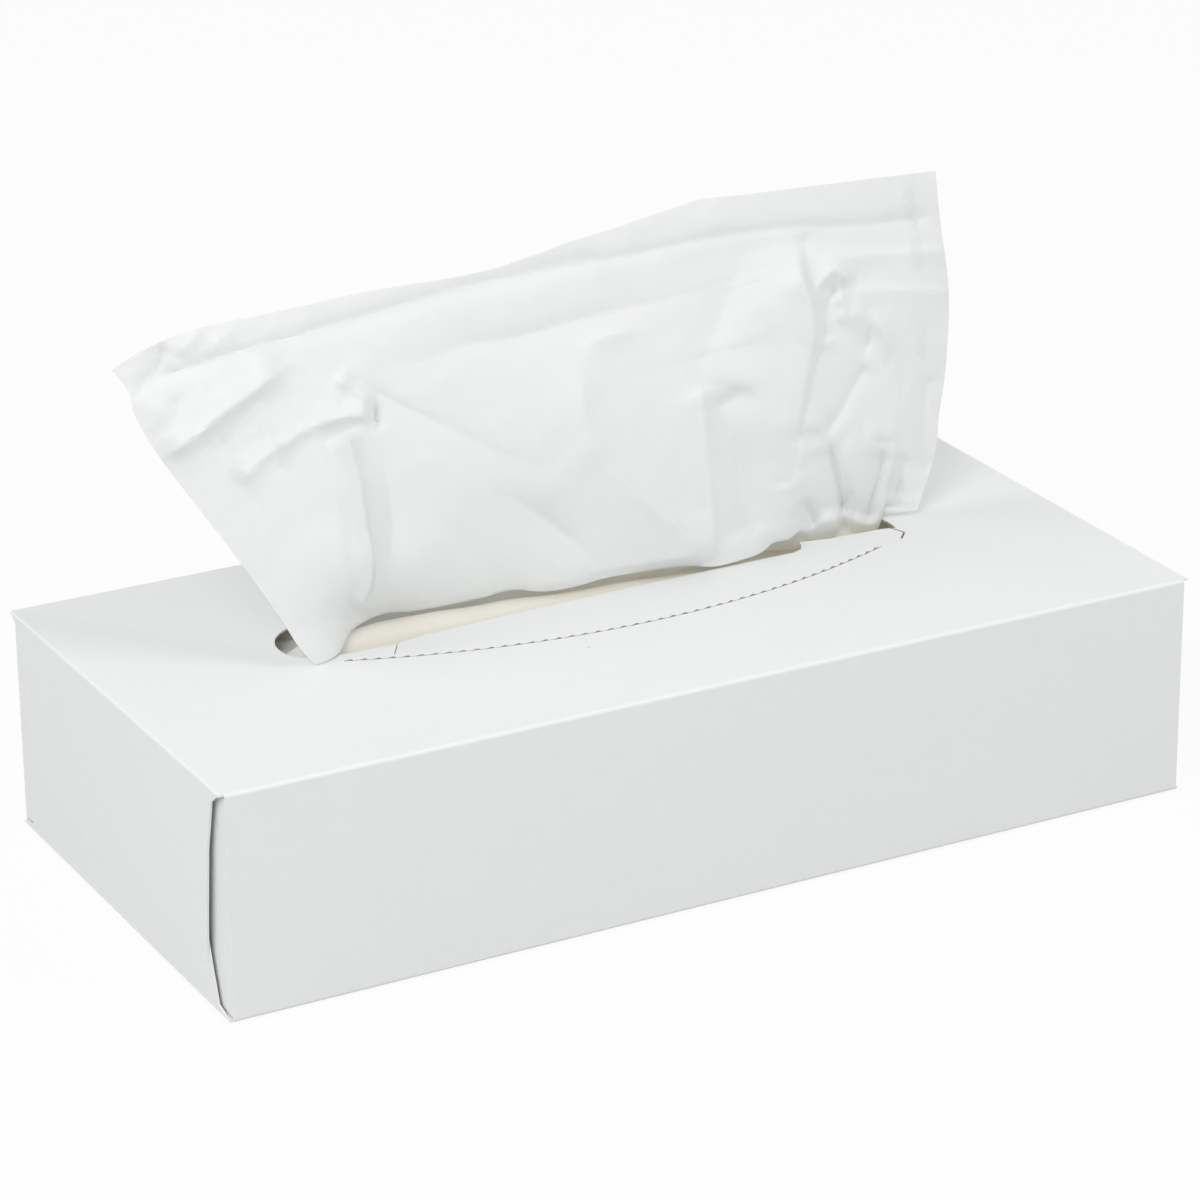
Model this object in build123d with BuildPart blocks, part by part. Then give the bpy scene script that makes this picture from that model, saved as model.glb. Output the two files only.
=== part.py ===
from build123d import *
import math
import os

# A pop-up facial-tissue carton. X runs along the carton, Y to its back and Z up.
# The origin is the centre of the underside. Lengths are in millimetres.

# Carton board
carton_length = 230.0
carton_width = 110.0
carton_height = 50.0
board = 0.45
fold_radius = 0.8
overrun = 5.0

# End flaps: the outer top flap is glued over the bottom flap, and the dust flaps stand behind both
flap_fold_radius = 0.35
flap_standoff = 0.3
dust_flap_gap = 16.0
dust_flap_lean = 2.6
dust_flap_slack = 0.5
top_flap_clear = 10.0
bottom_flap_rise = 18.7
flap_root_inset = 0.5
glue_lap_height = 12.0
seam_gap = 0.3

# Slot in the top panel, with the torn front strip, and the shallow dent that runs to its ends
slot_length = 150.0
slot_width = 46.6
slot_centre_x = 2.8
slot_centre_y = 6.6
slit_width = 0.5
tear_width = 0.25
tooth_height = 0.75
tooth_pitch = 3.0
dent_depth = 1.5
dent_margin = 1.0

# Pack of interfolded tissues, by its room inside the carton, and the thickness of one sheet
pack_end_room = 5.75
pack_side_room = 2.05
pack_head_room = 7.1
pack_edge_radius = 2.0
sheet_thickness = 0.25
sheet_side_inset = 2.5
layer_gap = 0.5

# Pulled tissue: how high it stands above the carton and how it leans and billows
pull_height = 80.8
pull_set_back = 8.4
pull_slope = 12.5
pleat_depth = 10.0
root_left_share = 0.82
root_right_share = 0.93
top_left_share = 1.022
top_right_share = 0.845

# Fold of the next tissue, showing between the strip and the pulled tissue
crest_drop = 2.4
crest_width = 9.0

# Sizes worked out from those above
half_length = carton_length / 2
half_width = carton_width / 2
bottom_fold_x = half_length - board
dust_fold_x = half_length - 2 * board - flap_standoff
dust_flap_length = half_width - dust_flap_gap / 2
top_flap_drop = carton_height - top_flap_clear
sheet_width = 2 * (dust_fold_x - dust_flap_lean - board - pack_end_room)
pack_width = carton_width - 2 * board - 2 * pack_side_room
pack_height = carton_height - 2 * board - pack_head_room
pack_top = board + pack_height
pull_line_y = slot_centre_y + pull_set_back
ridge_y = slot_centre_y
slot_half_length = slot_length / 2
slot_half_width = slot_width / 2


def scaled(shares, x_size, y_size, x_at=0.0, y_at=0.0):
    """Outline points given as shares of two sizes."""
    return [(x_at + x * x_size, y_at + y * y_size) for x, y in shares]


def ribbon(points, thickness):
    """A closed outline that follows an open line on both sides, with mitred corners."""
    near, far = [], []
    for index, point in enumerate(points):
        before = points[max(index - 1, 0)]
        after = points[min(index + 1, len(points) - 1)]
        legs = [(q[0] - p[0], q[1] - p[1]) for p, q in ((before, point), (point, after)) if p != q]
        normals = [(-dy / math.hypot(dx, dy), dx / math.hypot(dx, dy)) for dx, dy in legs]
        mean = (sum(n[0] for n in normals), sum(n[1] for n in normals))
        size = math.hypot(*mean)
        mean = (mean[0] / size, mean[1] / size)
        reach = thickness / 2 / (mean[0] * normals[0][0] + mean[1] * normals[0][1])
        near.append((point[0] - mean[0] * reach, point[1] - mean[1] * reach))
        far.append((point[0] + mean[0] * reach, point[1] + mean[1] * reach))
    return near + far[::-1]


# Dent in the top panel: a shallow inverted hip roof with its ridge along the slot
dent_reach_x = dust_fold_x - dent_margin
dent_reach_y = half_width - dent_margin
dent_floor = carton_height - dent_depth
ridge_left = slot_centre_x - slot_half_length
ridge_right = slot_centre_x + slot_half_length

with BuildPart() as dent:
    with BuildSketch(Plane.YZ):
        with BuildLine():
            Polyline(
                (-dent_reach_y, carton_height),
                (ridge_y, dent_floor),
                (dent_reach_y, carton_height),
                (dent_reach_y, carton_height + overrun),
                (-dent_reach_y, carton_height + overrun),
                close=True,
            )
        make_face()
    extrude(amount=half_length, both=True)
    with BuildSketch(Plane.XZ):
        with BuildLine():
            Polyline(
                (-dent_reach_x, carton_height),
                (ridge_left, dent_floor),
                (ridge_right, dent_floor),
                (dent_reach_x, carton_height),
                (dent_reach_x, carton_height + overrun),
                (-dent_reach_x, carton_height + overrun),
                close=True,
            )
        make_face()
    extrude(amount=half_width, both=True, mode=Mode.INTERSECT)

# Inside of the folded tube, which follows the dent one board lower
with BuildPart() as tube_inside:
    with BuildSketch(Plane.YZ):
        with Locations((0, carton_height / 2)):
            RectangleRounded(
                carton_width - 2 * board, carton_height - 2 * board, fold_radius - board
            )
    extrude(amount=half_length, both=True)
    add(dent.part.moved(Location((0, 0, -board))), mode=Mode.SUBTRACT)

# Flaps of the left end
top_flap_shares = [
    (-1, 0), (-0.93, 0.072), (-0.88, 0.36), (-0.85, 0.74), (-0.835, 1),
    (0.835, 1), (0.85, 0.74), (0.88, 0.36), (0.93, 0.072), (1, 0),
]
bottom_flap_shares = [
    (-1, 0), (-0.90, 0.09), (-0.85, 0.51), (-0.80, 1),
    (0.80, 1), (0.85, 0.51), (0.90, 0.09), (1, 0),
]
flap_root = half_width - flap_root_inset

with BuildPart() as end_flaps:
    with BuildSketch(Plane.YZ.offset(-half_length)):
        with BuildLine():
            Polyline(*scaled(top_flap_shares, flap_root, -top_flap_drop, 0, carton_height), close=True)
        make_face()
    extrude(amount=board)
    with BuildSketch(Plane.YZ.offset(-half_length)):
        with Locations((0, carton_height - board / 2)):
            Rectangle(2 * flap_root, board)
    extrude(amount=half_length - dust_fold_x)
    with BuildSketch(Plane.YZ.offset(-bottom_fold_x)):
        with BuildLine():
            Polyline(*scaled(bottom_flap_shares, flap_root, bottom_flap_rise), close=True)
        make_face()
    extrude(amount=board)
    with BuildSketch(Plane.YZ.offset(-bottom_fold_x)):
        with Locations((0, board / 2)):
            Rectangle(2 * flap_root, board)
    extrude(amount=bottom_fold_x - dust_fold_x)
    outer_folds = end_flaps.edges().filter_by(Axis.Y)
    top_fold = outer_folds.group_by(Axis.Z)[-1].sort_by(Axis.X)[0]
    bottom_fold = outer_folds.group_by(Axis.Z)[0].sort_by(Axis.X)[0]
    fillet([top_fold, bottom_fold], radius=flap_fold_radius)

# One dust flap, hinged on the front panel and leaning a little into the carton
with BuildPart() as dust_flap:
    with BuildSketch(Plane.XY.offset(board + dust_flap_slack)):
        with BuildLine():
            Polyline(
                (-dust_fold_x, -half_width),
                (-dust_fold_x + dust_flap_lean, -half_width + dust_flap_length),
                (-dust_fold_x + dust_flap_lean + board, -half_width + dust_flap_length),
                (-dust_fold_x + board, -half_width),
                close=True,
            )
        make_face()
    extrude(amount=carton_height - 2 * board - 2 * dust_flap_slack)
    fold = dust_flap.edges().filter_by(Axis.Z).group_by(Axis.Y)[0].sort_by(Axis.X)[0]
    fillet(fold, radius=flap_fold_radius)

# The sheet of board, folded and glued
with BuildPart() as carton:
    with BuildSketch(Plane.YZ):
        with Locations((0, carton_height / 2)):
            RectangleRounded(carton_width, carton_height, fold_radius)
    extrude(amount=dust_fold_x, both=True)
    add(dent.part, mode=Mode.SUBTRACT)
    add(tube_inside.part, mode=Mode.SUBTRACT)
    add(end_flaps.part)
    add(mirror(end_flaps.part, about=Plane.YZ, mode=Mode.PRIVATE))
    front_left = dust_flap.part
    front_right = mirror(front_left, about=Plane.YZ, mode=Mode.PRIVATE)
    add([front_left, front_right])
    add([mirror(flap, about=Plane.XZ, mode=Mode.PRIVATE) for flap in (front_left, front_right)])
    # Glue lap inside the back panel, and the panel's free edge beside it
    with BuildSketch(Plane.YZ):
        with Locations((half_width - 3 * board / 2, board / 2 + glue_lap_height / 2)):
            Rectangle(board, glue_lap_height)
    extrude(amount=dust_fold_x - board - dust_flap_lean, both=True)
    with BuildSketch(Plane.YZ):
        with Locations((half_width, fold_radius + seam_gap / 2)):
            Rectangle(board, seam_gap)
    extrude(amount=dust_fold_x, both=True, mode=Mode.SUBTRACT)

# Opening of the slot, as shares of half its length and half its width
strip_edge_shares = [
    (1.0, -0.05), (0.96, -0.01), (0.78, 0.02), (0.715, 0.06), (0.69, 0.085), (0.68, 0.0),
    (0.665, -0.08), (0.63, -0.125), (0.45, -0.12), (0.0, -0.135), (-0.35, -0.17), (-0.60, -0.21),
    (-0.69, -0.28), (-0.84, -0.27), (-0.965, -0.17),
]
left_end_shares = [(-0.965, -0.17), (-1.0, 0.04), (-0.905, 0.53)]
back_arc_shares = [(-0.905, 0.53), (0.0, 1.0), (0.905, 0.53)]
right_end_shares = [(0.905, 0.53), (0.985, 0.3), (1.0, -0.05)]
slit_shares = [(0.985, -0.02), (1.0, -0.2), (0.965, -0.33)]
strip_cut_shares = [(-0.69, -0.27), (-0.735, -0.5)]
tear_shares = [(-0.87, -0.42), (0.0, -1.0), (0.89, -0.42)]


def in_slot(shares):
    """Points of the slot's outline in the top panel's plan."""
    return scaled(shares, slot_half_length, slot_half_width, slot_centre_x, slot_centre_y)


# Arc of the tear: its circle through the two ends and the foremost point
tear_left, tear_front, tear_right = in_slot(tear_shares)
tear_chord = math.dist(tear_left, tear_right)
tear_rise = (tear_left[1] + tear_right[1]) / 2 - tear_front[1]
tear_radius = tear_chord**2 / (8 * tear_rise) + tear_rise / 2
tear_centre = (tear_front[0], tear_front[1] + tear_radius)
tear_half_angle = math.asin(tear_chord / 2 / tear_radius)
tooth_count = round(2 * tear_half_angle * tear_radius / tooth_pitch)


def on_tear(turn, inward=0.0):
    """A point of the tear's arc at an angle from its middle, moved towards the slot by a length."""
    radius = tear_radius - inward
    return (tear_centre[0] + radius * math.sin(turn), tear_centre[1] - radius * math.cos(turn))


tooth_angle = 2 * tear_half_angle / tooth_count
tear_points = [on_tear(-tear_half_angle), on_tear(0), on_tear(tear_half_angle)]
tooth_points = []
for tooth in range(tooth_count):
    turn = tear_half_angle - tooth * tooth_angle
    tooth_points.append(on_tear(turn, tear_width))
    tooth_points.append(on_tear(turn - tooth_angle / 3, tear_width))
    tooth_points.append(on_tear(turn - tooth_angle / 2, tear_width + tooth_height))
tooth_points.append(on_tear(-tear_half_angle, tear_width))

with BuildPart() as slot_cut:
    with BuildSketch(Plane.XY.offset(pack_top)):
        with BuildLine():
            ThreePointArc(*in_slot(left_end_shares))
            ThreePointArc(*in_slot(back_arc_shares))
            ThreePointArc(*in_slot(right_end_shares))
            Polyline(*in_slot(strip_edge_shares))
        make_face()
        with BuildLine():
            slit_in, slit_bend, slit_out = in_slot(slit_shares)
            Polyline(*ribbon([slit_in, slit_bend, slit_out], slit_width), close=True)
        make_face()
        with BuildLine():
            Polyline(*ribbon(in_slot(strip_cut_shares), slit_width / 2), close=True)
        make_face()
        with BuildLine():
            ThreePointArc(*tear_points)
            Line(tear_points[-1], tooth_points[0])
            Polyline(*tooth_points)
            Line(tooth_points[-1], tear_points[0])
        make_face()
    extrude(amount=carton_height - pack_top + overrun)

with BuildPart() as slotted_carton:
    add(carton.part)
    add(slot_cut.part, mode=Mode.SUBTRACT)

# Rest of the interfolded pack, one block
with BuildPart() as tissue_stack:
    with BuildSketch(Plane.XY.offset(board)):
        RectangleRounded(sheet_width, pack_width, pack_edge_radius)
    extrude(amount=pack_height)

# Share of the pleat depth that the pulled tissue's front folds take in the slot, with some room
front_fold_share = 0.38

# Next tissue: one half lies over the pack, the other is folded back over it and rises in the slot
fold_y = pack_width / 2 - sheet_side_inset
sheet_half = sheet_width / 2 - sheet_side_inset
fold_rise = sheet_thickness + layer_gap
under_z = pack_top + sheet_thickness / 2
tail_z = under_z + sheet_thickness
crest_z = carton_height - crest_drop
crest_back = pull_line_y - pleat_depth * front_fold_share
crest_front = crest_back - crest_width

with BuildPart() as next_tissue:
    with BuildSketch(Plane.YZ):
        with BuildLine():
            lying = [
                (fold_y, under_z),
                (-fold_y, under_z),
                (-fold_y - fold_rise / 2, under_z + fold_rise / 2),
                (-fold_y, under_z + fold_rise),
                (crest_front - crest_width / 2, under_z + fold_rise),
                (crest_front, crest_z - crest_drop / 2),
                (crest_front + crest_width / 3, crest_z),
                (crest_back - crest_width / 4, crest_z - crest_drop / 4),
                (crest_back, under_z + fold_rise),
            ]
            Polyline(*ribbon(lying, sheet_thickness), close=True)
        make_face()
    extrude(amount=sheet_half, both=True)

# Pulled tissue, gathered in the slot and spread at its top edge. Each level has its share of the
# height, how far its left and right ends have spread, its share of the top edge's slope, and its
# folds as shares of the pleat depth, where a smaller share stands further forward. The ends and
# the places of the folds follow the photograph's outline and creases, and the depths are chosen
# by hand
root_left = slot_centre_x - root_left_share * slot_half_length
root_right = slot_centre_x + root_right_share * slot_half_length
spread_left = slot_centre_x - top_left_share * sheet_width / 2 - root_left
spread_right = slot_centre_x + top_right_share * sheet_width / 2 - root_right
fold_place_shares = [0, 0.06, 0.12, 0.2, 0.26, 0.35, 0.44, 0.5, 0.58, 0.65, 0.7, 0.79, 0.84, 0.92, 1]
gather_shares = [0.0, 0.3, -0.2, 0.3, 0.0, -0.2, -0.3, -0.1, 0.2, -0.3, 0.3, -0.3, 0.35, -0.2, 0.0]
level_shares = [
    (
        0.02, 0.25, 0, 0,
        [-0.6, -0.6, -0.7, -0.6, -0.5, -0.55, -0.7, -0.7, -0.8, -0.9, -0.6, -0.6, -0.4, -0.4, -0.5],
    ),
    (
        0.12, 0.35, 0.9, 0.05,
        [-1.1, -1.15, -1.4, -1.2, -1, -1.05, -0.95, -1.1, -1.2, -0.95, -0.6, -0.8, -0.35, -0.4, -0.5],
    ),
    (
        0.3, 0.5, 1.05, 0.2,
        [-1.1, -1.05, -1.25, -1.4, -1, -1.05, -1, -1.2, -1.15, -0.95, -0.6, -0.9, -0.4, -0.45, -0.4],
    ),
    (
        0.5, 0.7, 1.15, 0.4,
        [-0.9, -1, -1.15, -1.3, -0.8, -1, -0.95, -1.2, -0.9, -0.95, -0.65, -0.85, -0.4, -0.55, -0.3],
    ),
    (
        0.72, 0.9, 1.15, 0.65,
        [-0.6, -0.65, -0.75, -0.7, -0.6, -0.7, -0.65, -0.9, -0.65, -0.6, -0.55, -0.95, -0.3, -0.5, -0.3],
    ),
    (
        0.9, 0.97, 1.05, 0.9,
        [-0.3, -0.35, -0.3, -0.45, -0.35, -0.45, -0.35, -0.45, -0.35, -0.4, -0.3, -0.6, -0.2, -0.25, -0.2],
    ),
    (
        1.06, 1.03, 1, 0.8,
        [0, -0.1, -0.05, -0.1, -0.05, -0.15, -0.1, -0.2, -0.15, -0.2, -0.15, -0.3, -0.15, -0.1, -0.15],
    ),
]
# Wavy top edge, by the photograph's outline: places along the tissue's spread and heights as
# shares of the pull height
top_edge_shares = [
    (-0.1, 0.79), (0, 0.82), (0.04, 0.86), (0.1, 0.887), (0.22, 0.9), (0.42, 0.905), (0.52, 0.94),
    (0.63, 0.977), (0.7, 1), (0.8, 0.987), (0.9, 0.976), (1, 0.965), (1.1, 0.95),
]
above_share = 1.3
upper_z = tail_z + fold_rise
tail_front = pull_line_y - pleat_depth * front_fold_share + sheet_thickness


def pull_section(rise_share, left_share, right_share, slope_share, fold_shares):
    """The plane of one level of the pulled tissue, and its line of folds in that plane."""
    left = root_left + spread_left * left_share
    right = root_right + spread_right * right_share
    rise = pull_slope * slope_share
    tilt = math.atan2(rise, right - left)
    level = Plane(
        origin=(left, pull_line_y, carton_height + pull_height * rise_share - rise),
        x_dir=(right - left, 0, rise),
        z_dir=(-rise, 0, right - left),
    )
    run = (right - left) / math.cos(tilt)
    return level, [(run * at, fold * pleat_depth) for at, fold in zip(fold_place_shares, fold_shares)]


with BuildPart() as pulled_tissue:
    root_share = (upper_z - carton_height) / pull_height
    lowest = (root_share, 0, 0, 0, gather_shares)
    for level in (lowest, *level_shares):
        place, line = pull_section(*level)
        with BuildSketch(place):
            with BuildLine():
                Polyline(*ribbon(line, sheet_thickness), close=True)
            make_face()
    loft(ruled=True)
    with BuildSketch(Plane.XZ):
        with BuildLine():
            left = root_left + spread_left
            spread = root_right + spread_right - left
            edge = [(left + spread * at, carton_height + pull_height * up) for at, up in top_edge_shares]
            above = carton_height + pull_height * above_share
            Polyline(*edge, (edge[-1][0], above), (edge[0][0], above), close=True)
        make_face()
    extrude(amount=half_width, both=True, mode=Mode.SUBTRACT)
    with BuildSketch(Plane.YZ):
        with BuildLine():
            tail = [
                (tail_front, upper_z),
                (fold_y - fold_rise, upper_z),
                (fold_y - fold_rise / 2, upper_z - fold_rise / 2),
                (fold_y - fold_rise, tail_z),
                (tail_front, tail_z),
            ]
            Polyline(*ribbon(tail, sheet_thickness), close=True)
        make_face()
    extrude(amount=sheet_half, both=True)

# Each piece under its name
os.makedirs("parts", exist_ok=True)
slotted_carton.part.label = "carton"
export_step(slotted_carton.part, "parts/carton.step")
tissue_stack.part.label = "tissue_stack"
export_step(tissue_stack.part, "parts/tissue_stack.step")
next_tissue.part.label = "next_tissue"
export_step(next_tissue.part, "parts/next_tissue.step")
pulled_tissue.part.label = "pulled_tissue"
export_step(pulled_tissue.part, "parts/pulled_tissue.step")
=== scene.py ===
import math
import random

import bmesh
import bpy
import numpy as np
from bpy.props import FloatProperty, FloatVectorProperty, IntProperty, PointerProperty
from mathutils import Matrix, Vector, noise


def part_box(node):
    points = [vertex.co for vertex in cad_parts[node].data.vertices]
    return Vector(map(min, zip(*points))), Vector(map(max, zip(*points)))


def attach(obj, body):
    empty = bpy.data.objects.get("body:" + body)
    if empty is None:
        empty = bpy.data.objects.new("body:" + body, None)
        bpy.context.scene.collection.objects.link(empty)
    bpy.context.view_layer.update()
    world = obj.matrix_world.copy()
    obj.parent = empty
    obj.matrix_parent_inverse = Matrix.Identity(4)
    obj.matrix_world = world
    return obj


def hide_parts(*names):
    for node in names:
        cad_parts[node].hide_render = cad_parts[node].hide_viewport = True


# A pop-up tissue carton dressed for a picture: the board's finish, the tissue that stands in the
# slot, the next one behind the torn strip, and the pack below. X runs along the carton, Y to its
# back and Z up, in metres. Outlines and folds of the sheets are in millimetres.

bl_info = {
    "name": "Tissue box",
    "version": (1, 0, 0),
    "blender": (4, 5, 0),
    "location": "View3D > Sidebar > Tissue box",
    "description": "Dresses a folded carton with its tissues, materials, lights and camera",
    "category": "Object",
}

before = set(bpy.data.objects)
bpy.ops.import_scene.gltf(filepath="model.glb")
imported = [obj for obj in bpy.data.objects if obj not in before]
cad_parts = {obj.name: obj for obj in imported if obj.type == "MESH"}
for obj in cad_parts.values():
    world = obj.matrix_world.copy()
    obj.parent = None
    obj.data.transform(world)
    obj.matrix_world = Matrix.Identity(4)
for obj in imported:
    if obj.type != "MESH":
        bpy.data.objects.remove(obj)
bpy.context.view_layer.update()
CARTON_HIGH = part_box("carton")[1]
MM = 0.001

# Camera: where the eye stands, which way the picture's sides run, and its focal length
EYE = Vector((-445.03, -828.51, 434.49)) * MM
PICTURE_RIGHT = Vector((0.879579, -0.475683, -0.008167))
PICTURE_UP = Vector((0.187192, 0.330249, 0.925146))
PICTURE_BACK = Vector((-0.437379, -0.815268, 0.379524))
LENS = 141.26
SENSOR = 36.0

# The pulled tissue, drawn on an upright plane along the slot as seen from the camera: millimetres
# across and above the floor. Every point then slides along its line of sight to its own depth.
DRAWING_PLANE = 15.0
LEFT_EDGE = [
    (-61.6, 40.8), (-65.5, 46.2), (-68.3, 51.4), (-78.1, 67.8), (-88.3, 83.6), (-94.4, 93.2),
    (-98.1, 99.8), (-100.5, 105.7), (-101, 109), (-104.7, 115.1),
]
RIGHT_EDGE = [
    (89.3, 47.3), (90.8, 51.4), (92.6, 56.4), (94.3, 63.8), (94.5, 68.1), (95.9, 77.5),
    (96.6, 89.2), (96.7, 96.3), (96.1, 102.3), (93.9, 115.4), (92.4, 127),
]
TOP_EDGE = [
    (-104.7, 115.1), (-100.6, 117), (-96.1, 118.6), (-92.7, 119.5), (-88.9, 120.3),
    (-84.9, 120.7), (-78.2, 121.1), (-71.4, 121.2), (-60, 121.7), (-48.5, 122.2),
    (-39.3, 122.2), (-29.9, 122), (-20.5, 122.2), (-15.7, 122.5), (-11, 123.3), (-6.2, 124),
    (-1.4, 125), (8.3, 126.2), (20.5, 128), (27.8, 129.1), (32.8, 129.7), (35.7, 129.7),
    (42.7, 129.2), (52.7, 128.8), (73, 127.9), (92.4, 127),
]
# Lower outline of what shows, left to right: across, above the floor, and its depth along Y
LOWER_EDGE = [
    (-61.6, 40.8, -2.3), (-59, 41.2, -1.8), (-56.4, 42.3, -0.2), (-54.4, 44.7, 3),
    (-53.2, 46.7, 5), (-50.8, 48.1, 6.6), (-44.8, 49.4, 7.8), (-38.8, 48.6, 8),
    (-31.6, 48.3, 7.8), (-22, 48.3, 7.8), (-14.7, 48.7, 7.6), (-6.1, 46.7, 6.6), (2.6, 46.4, 6),
    (7.5, 46.8, 6), (17.6, 46.5, 5.8), (30.2, 45.4, 4.8), (36.6, 44.1, 3.8), (43, 44.3, 3.8),
    (48.9, 45.3, 4.5), (51.2, 46.7, 5.5), (55.9, 47, 7), (58.5, 48.3, 8.8), (60.6, 47.3, 10.2),
    (63.7, 45.5, 11), (67.4, 45, 11), (68.9, 47.4, 12), (70, 47.9, 12.3), (71.3, 46.7, 12),
    (72.9, 44.2, 11), (75.3, 43.7, 10.5), (78, 43.7, 10), (79.5, 45.8, 10.5), (80.2, 49.3, 12),
    (81.6, 50, 12), (84.2, 49.3, 11), (86.9, 48, 10), (89.3, 47.3, 9),
]
# Depth along Y of the sheet's broad belly at shares of its rise and of its width. The lower edge
# gives the first row, and the others follow from there up to the top edge.
BELLY_RISE = [0.0, 0.14, 0.36, 0.62, 0.85, 1.0]
BELLY_ACROSS = [0.0, 0.08, 0.17, 0.26, 0.4, 0.55, 0.7, 0.8, 0.88, 0.95, 1.0]
BELLY_DEPTH = [
    [-0.6, -0.8, 1.4, 5.0, 5.6, 4.8, 4.4, 6.2, 7.6, 9.2, 10.4],
    [3.2, 1.6, 1.2, 3.2, 4.0, 4.2, 4.8, 6.4, 8.0, 9.6, 11.4],
    [7.4, 6.4, 5.2, 5.0, 5.4, 6.0, 6.8, 7.8, 9.0, 10.2, 11.8],
    [10.8, 10.2, 9.6, 9.2, 9.2, 9.6, 9.8, 10.3, 11.0, 11.8, 12.6],
    [14.4, 14.0, 13.6, 13.2, 12.8, 12.4, 12.2, 12.4, 12.6, 13.0, 13.4],
]
# Parts that the belly is divided into across
BELLY_PARTS = 100
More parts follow.
